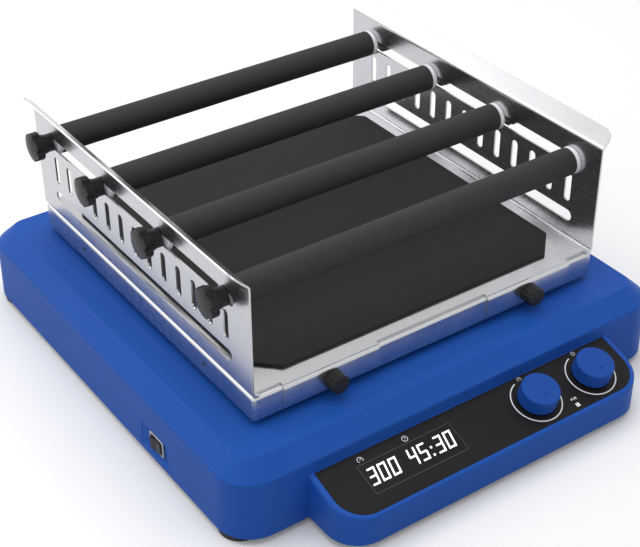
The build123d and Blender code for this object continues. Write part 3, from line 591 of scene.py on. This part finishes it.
# %% [markdown]
# Screws are repeated parts, so one is modelled well and placed many times. The head starts as a
# disc that is pushed up, its rim bevelled, and its top inset and pushed in. Before it is pushed
# in, every other pair of points on the inset is drawn towards the middle, which turns the round
# recess into a six lobed one.

# %% A screw head with a lobed recess
def height_and_middle(face):
    """Sorts the faces of a head so that the middle one on top comes last."""
    middle = face.calc_center_median()
    return middle.z, -middle.length, len(face.verts)


def screw_head(radius, height, place):
    """Pan head along +Z from its seat, moved to its place. Sizes in metres."""
    shape = bmesh.new()
    bmesh.ops.create_circle(shape, cap_ends=True, radius=radius, segments=24)
    pushed(shape, shape.faces[:], height)
    crown = max(shape.faces, key=lambda f: f.calc_center_median().z)
    bmesh.ops.bevel(
        shape, geom=list(crown.edges), offset=height * 0.45, offset_type="OFFSET",
        affect="EDGES", segments=3, profile=0.5, material=-1,
    )
    crown = max(shape.faces, key=lambda f: (f.calc_center_median().z, f.calc_area()))
    bmesh.ops.inset_region(shape, faces=[crown], thickness=radius * 0.38)
    crown = max(shape.faces, key=height_and_middle)
    for i, vert in enumerate(crown.verts):
        pull = 0.86 if i % 4 < 2 else 1.05
        vert.co.x *= pull
        vert.co.y *= pull
    pushed(shape, [crown], -height * 0.6)
    bmesh.ops.delete(shape, geom=[crown], context="FACES_ONLY")
    bmesh.ops.transform(shape, matrix=place, verts=shape.verts)
    return shape


def screws(name, body, radius, height, places, slot_name="shaft_steel"):
    """One piece that holds every screw of a group."""
    whole = bpy.data.meshes.new(name)
    gathered = bmesh.new()
    for place in places:
        one = screw_head(radius, height, place)
        one.to_mesh(whole)
        one.free()
        gathered.from_mesh(whole)
    bpy.data.meshes.remove(whole)
    to_piece(gathered, name, body, made[slot_name])


def spot(x, y, z, turn=0.0):
    """A place for a screw, turned about X."""
    return Matrix.Translation((x, y, z)) @ Matrix.Rotation(math.radians(turn), 4, "X")


print("screw heads are ready")

# %% [markdown]
# The bottom cover is screwed to posts in the housing, each rubber foot has one screw, and the
# mains inlet has two that lie in its flange. Their places come from the boxes of the CAD pieces,
# so the screws stay with the part when its size changes.

# %% Screws under the bottom cover, in the feet and in the inlet
def middle_of(name):
    low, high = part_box(name)
    return (low + high) / 2


def four_corners(mid_y, x, y, z):
    """Four places that look down, in a rectangle about x = 0."""
    return [spot(sx * x, mid_y + sy * y, z, 180) for sx in (-1, 1) for sy in (-1, 1)]


cover_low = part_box("base_plate")[0]
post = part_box("housing_shell")[1].x - 36 * mm
under = four_corners(middle_of("tray").y, post, post, cover_low.z)
screws("cover_screws", "base", 3.4 * mm, 2.0 * mm, under)
feet_low, feet_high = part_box("feet")
foot_in = 17 * mm
foot_x = feet_high.x - foot_in
foot_y = (feet_high.y - feet_low.y) / 2 - foot_in
in_feet = four_corners(middle_of("feet").y, foot_x, foot_y, 3 * mm)
screws("foot_screws", "base", 3.4 * mm, 2.0 * mm, in_feet)
inlet = middle_of("power_inlet")
inlet_screw_x = 20 * mm
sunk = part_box("power_inlet")[1].y - 1.8 * mm
at_inlet = [spot(inlet.x + side * inlet_screw_x, sunk, inlet.z, -90) for side in (-1, 1)]
screws("inlet_screws", "base", 1.5 * mm, 1.6 * mm, at_inlet)

# %% [markdown]
# Inside, each casting stands on bolts. They are never seen in the finished machine, but anyone
# who opens the part will look for what holds it together. The hubs hang from the tray, so their
# bolts point the other way.

# %% Bolts of the castings
def bolt_circle(x, y, z, radius, turn=0.0):
    """Four places on a circle."""
    places = []
    for quarter in range(4):
        angle = math.pi / 2 * quarter
        places.append(spot(x + radius * math.cos(angle), y + radius * math.sin(angle), z, turn))
    return places


block = middle_of("main_bearing_block")
seat_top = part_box("main_bearing_block")[0].z + 5 * mm
on_block = bolt_circle(block.x, block.y, seat_top, 37 * mm)
screws("block_bolts", "base", 4.0 * mm, 3.0 * mm, on_block)
hub_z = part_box("centre_hub")[1].z - 4 * mm
on_hub = bolt_circle(0, middle_of("centre_hub").y, hub_z, 27 * mm, turn=180)
screws("hub_bolts", "platform", 4.0 * mm, 2.4 * mm, on_hub)

# %% [markdown]
# The studio is a pale floor, a soft sky and three large soft lights. The floor is plain white to
# the camera and to reflections, so the polished sheet has something bright to show, and it is
# darker to everything else, so that the undersides stay dark. The Light Path node tells the
# shader which kind of ray is asking.

# %% Floor
def to_the_eye(finish):
    """One for rays that make up the picture, and zero for those that only carry light."""
    kinds = ("Is Camera Ray", "Is Glossy Ray", "Is Transmission Ray")
    rays = [finish.node("ShaderNodeLightPath", output=kind) for kind in kinds]
    return sum(rays).at_most(1.0)


def pale_floor():
    finish = Finish("pale_floor")
    color = blend(finish, to_the_eye(finish), (0.5, 0.5, 0.5, 1), (1.0, 1.0, 1.0, 1))
    shade = finish.node("ShaderNodeBsdfDiffuse", None, {"Color": color})
    finish.node("ShaderNodeOutputMaterial", None, {"Surface": shade})
    return finish.material


ground = bmesh.new()
bmesh.ops.create_grid(ground, x_segments=2, y_segments=2, size=12.0)
floor = placed(ground, "floor", pale_floor())
print("floor", round(floor.dimensions.x, 1), "m wide")

# %% [markdown]
# The sky is a world with the same kind of network as a material, so its class only changes where
# the nodes go. It is a gradient, brighter overhead, because that is how a room with a white
# ceiling lights an object. Like the floor it is plain white to the camera.

# %% Sky
world = bpy.data.worlds.new("soft_sky")
world.use_nodes = True
bpy.context.scene.world = world


class Sky(Finish):
    """The world's network, made with the same method."""

    def __init__(self, world):
        self.tree = world.node_tree
        self.tree.nodes.clear()
        self.place = self.node("ShaderNodeTexCoord", output="Generated")


sky = Sky(world)
height = sky.node("ShaderNodeSeparateXYZ", None, [sky.place], output="Z")
glow = blend(sky, between(sky, height, -0.1, 0.9), (0.42, 0.42, 0.43, 1), (0.96, 0.96, 0.97, 1))
dim = sky.node("ShaderNodeBackground", None, {"Color": glow, "Strength": 0.85})
white = sky.node("ShaderNodeBackground", None, {"Color": (1, 1, 1, 1), "Strength": 1.0})
seen = sky.node("ShaderNodeMixShader", None, [to_the_eye(sky), dim, white])
sky.node("ShaderNodeOutputWorld", None, {"Surface": seen})
print("sky is ready")

# %% [markdown]
# Three large lights stand overhead, behind on the left, and in front on the left, as the shine on
# the sheet and the shadow on the right side of the housing show. They are large because a large
# light has a soft shadow. Together they add up to a level at which a colour renders about as it
# is written, and the power of each is worked out from its brightness and its size.

# %% Soft lights
def soft_light(name, place, aim, width, height, level):
    """A rectangular light. Level is its brightness, where 1 is as bright as white paper."""
    data = bpy.data.lights.new(name, "AREA")
    data.shape = "RECTANGLE"
    data.size, data.size_y = width, height
    data.energy = level * math.pi * width * height
    lamp = bpy.data.objects.new(name, data)
    lamp.location = place
    lamp.rotation_euler = (Vector(aim) - Vector(place)).to_track_quat("-Z", "Y").to_euler()
    bpy.context.scene.collection.objects.link(lamp)
    print(name, round(data.energy, 1), "W")


middle_of_it = (0.0, 0.02, 0.08)
soft_light("overhead", (-0.1, 0.3, 2.0), middle_of_it, 1.8, 1.4, 1.7)
soft_light("back_left", (-1.3, 1.7, 1.3), middle_of_it, 1.6, 1.2, 1.2)
soft_light("left_front", (-1.9, -0.9, 1.1), middle_of_it, 1.0, 1.0, 1.3)

# %% [markdown]
# The camera is worked out from the photograph: where it stood, where it looked, and how long its
# lens was, its focal length in pixels of the photograph. A rotation matrix is built from the three
# directions of the view, because that says exactly what is meant, where three angles would
# depend on their order.

# %% Camera
turned, tipped, rolled = (math.radians(v) for v in (-34.839, -34.164, -0.32))
along = math.cos(tipped)
ahead = Vector((-math.sin(turned) * along, math.cos(turned) * along, math.sin(tipped)))
level_right = Vector((math.cos(turned), math.sin(turned), 0))
level_up = level_right.cross(ahead)
right = math.cos(rolled) * level_right + math.sin(rolled) * level_up
up = math.cos(rolled) * level_up - math.sin(rolled) * level_right
lens_data = bpy.data.cameras.new("camera")
sensor, photo_width, focal = 36.0, 640, 1451.943
lens_data.sensor_width = sensor
lens_data.lens = focal / photo_width * sensor
lens_data.clip_start, lens_data.clip_end = 0.05, 60.0
camera = bpy.data.objects.new("camera", lens_data)
bpy.context.scene.collection.objects.link(camera)
turn = Matrix([[v[i] for v in (right, up, -ahead)] for i in range(3)]).to_4x4()
stood = (-0.5849, -0.82815, 0.75024)
camera.matrix_world = Matrix.Translation(stood) @ turn
bpy.context.scene.camera = camera
bpy.context.scene.view_settings.view_transform = "Standard"
print("lens", round(lens_data.lens, 2), "mm")
